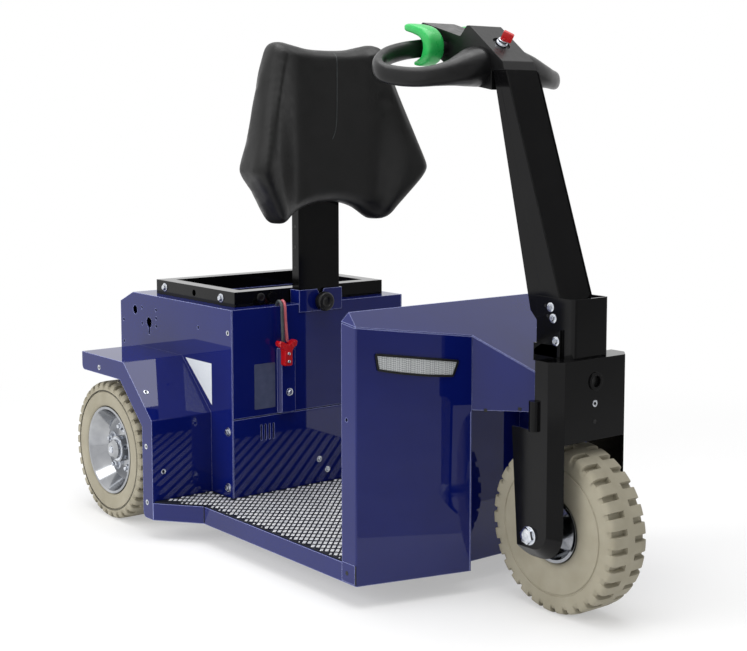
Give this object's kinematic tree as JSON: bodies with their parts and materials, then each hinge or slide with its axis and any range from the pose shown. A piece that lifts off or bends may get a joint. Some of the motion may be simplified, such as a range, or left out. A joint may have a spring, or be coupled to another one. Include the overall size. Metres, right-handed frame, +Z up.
{
  "type": "stand-on three-wheeled tow tug",
  "caption": "Compact electric tow tug with a tread-plate standing platform, battery box, lean-on backrest, tiller steering on a single front wheel and a rear pin hitch.",
  "frame": {"origin": "on the floor under the middle of the whole machine", "axes": "+X forward, +Y to the rider's left, +Z up"},
  "size_m": [1.802, 0.935, 1.326],
  "materials": {
    "blue_paint": "gloss",
    "black_coat": "satin powder coat",
    "tread_aluminium": "bright rolled diamond pattern",
    "zinc_steel": "bright zinc plate",
    "beige_rubber": "matt",
    "black_moulding": "fine grain",
    "pad_skin": "soft skin with fine grain",
    "red_moulding": "gloss",
    "green_moulding": "gloss",
    "clear_lens": "prismatic",
    "cable_sheath": "matt",
    "battery_case": "matt",
    "cast_axle": "painted casting"
  },
  "bodies": {
    "chassis": {"ladder_frame": "black_coat", "platform_tray": "blue_paint", "tread_plate": "tread_aluminium", "box_side_right": "blue_paint", "box_side_left": "blue_paint", "box_front_upper": "blue_paint", "box_front_lower": "blue_paint", "box_rear_panel": "blue_paint", "box_top_plate": "blue_paint", "top_frame": "black_coat", "battery_shelf": "black_coat", "battery_block": "battery_case", "drive_axle": "cast_axle", "fender_right": "blue_paint", "fender_left": "blue_paint", "tow_hitch": "black_coat", "post_sleeve": "blue_paint", "clamp_knob": "black_moulding", "connector_bracket": "blue_paint", "battery_connector": "red_moulding", "battery_cables": "cable_sheath", "front_panel_right": "blue_paint", "front_panel_left": "blue_paint", "hood": "blue_paint", "dash_rear_wall": "blue_paint", "well_wall": "blue_paint", "neck": "blue_paint", "head_tube": "black_coat", "headlight_bezels": "black_moulding", "headlight_lenses": "clear_lens"},
    "backrest": {"backrest_post": "black_coat", "backrest_pad": "pad_skin"},
    "steering": {"fork": "black_coat", "kingpin": "zinc_steel", "front_axle_bolt": "zinc_steel", "column_bracket": "black_coat", "column_channel": "black_coat", "column_cover": "black_coat", "tiller_head": "black_moulding", "loop_grips": "black_moulding", "throttle_wings": "green_moulding", "stop_button": "red_moulding", "key_switch": "red_moulding"},
    "front_wheel": {"front_tyre": "beige_rubber", "front_rim": "zinc_steel"},
    "rear_wheel_right": {"rear_tyre_right": "beige_rubber", "rear_rim_right": "zinc_steel"},
    "rear_wheel_left": {"rear_tyre_left": "beige_rubber", "rear_rim_left": "zinc_steel"}
  },
  "joints": [
    {"name": "steer", "type": "hinge", "parent": "chassis", "child": "steering", "pos_m": [0.699, 0, 0.49], "axis": [0, 0, 1], "range_deg": [-60, 60]},
    {"name": "backrest_height", "type": "slide", "parent": "chassis", "child": "backrest", "axis": [0, 0, 1], "range_m": [-0.1, 0.06]},
    {"name": "front_roll", "type": "hinge", "parent": "steering", "child": "front_wheel", "pos_m": [0.711, 0, 0.19], "axis": [0, 1, 0], "continuous": true},
    {"name": "rear_right_roll", "type": "hinge", "parent": "chassis", "child": "rear_wheel_right", "pos_m": [-0.601, -0.399, 0.19], "axis": [0, 1, 0], "continuous": true},
    {"name": "rear_left_roll", "type": "hinge", "parent": "chassis", "child": "rear_wheel_left", "pos_m": [-0.601, 0.399, 0.19], "axis": [0, 1, 0], "continuous": true}
  ]
}
